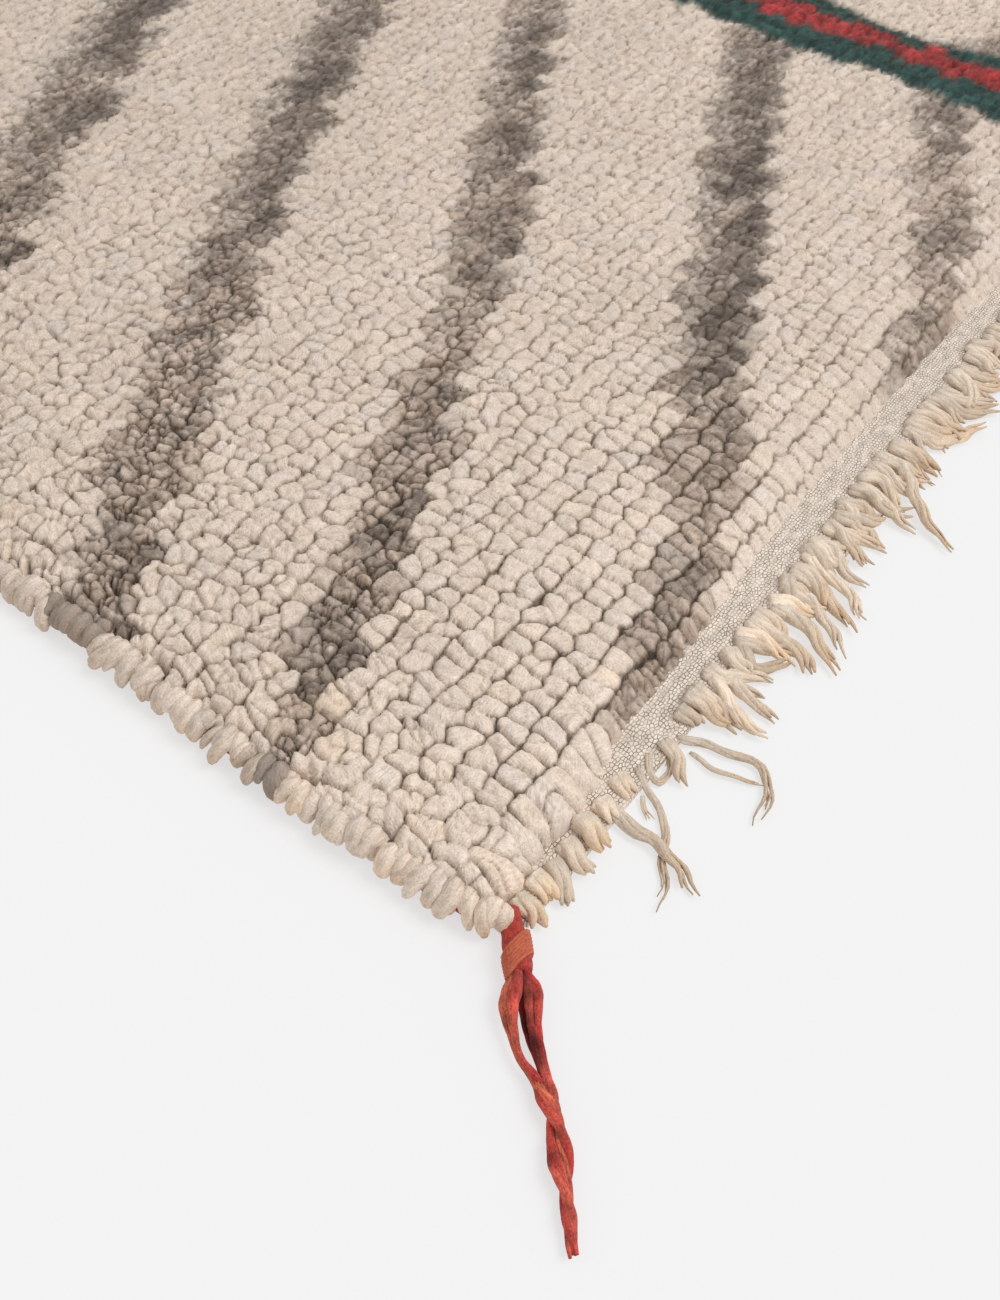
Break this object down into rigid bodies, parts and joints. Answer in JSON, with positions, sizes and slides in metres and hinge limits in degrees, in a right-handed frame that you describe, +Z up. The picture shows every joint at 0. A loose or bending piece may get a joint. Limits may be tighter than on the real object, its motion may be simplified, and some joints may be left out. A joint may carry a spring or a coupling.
{
  "type": "azilal rug",
  "caption": "Hand-knotted wool pile rug lying flat, with flat-woven ends, a fringe at each end, corded side edges and a red corner tassel.",
  "frame": {"origin": "on the underside of the rug, at the middle of its width and length", "axes": "+Y along the rug's length, from the fringe with the corner tassel to the far fringe; +X across its width, along the fringe; +Z up from the floor"},
  "size_m": [1.5798, 2.549, 0.02],
  "materials": {
    "cream_wool": "thick hand-knotted wool pile, matte and slightly fuzzy, cream with grey-brown diagonal stripes and a green and red line along the middle",
    "fringe_wool": "unbleached handspun wool warp ends, loosely twisted, matte",
    "red_wool": "dyed handspun wool cord, matte",
    "orange_wool": "dyed wool yarn, tightly whipped, matte",
    "crimson_wool": "dyed wool yarn strands, loosely twisted, matte"
  },
  "bodies": {
    "root": {"rug": "cream_wool", "side_cord_left": "red_wool", "side_cord_right": "red_wool", "fringe_near": "fringe_wool", "fringe_far": "fringe_wool", "tassel_head": "orange_wool", "tassel_tail": "crimson_wool"}
  },
  "joints": []
}
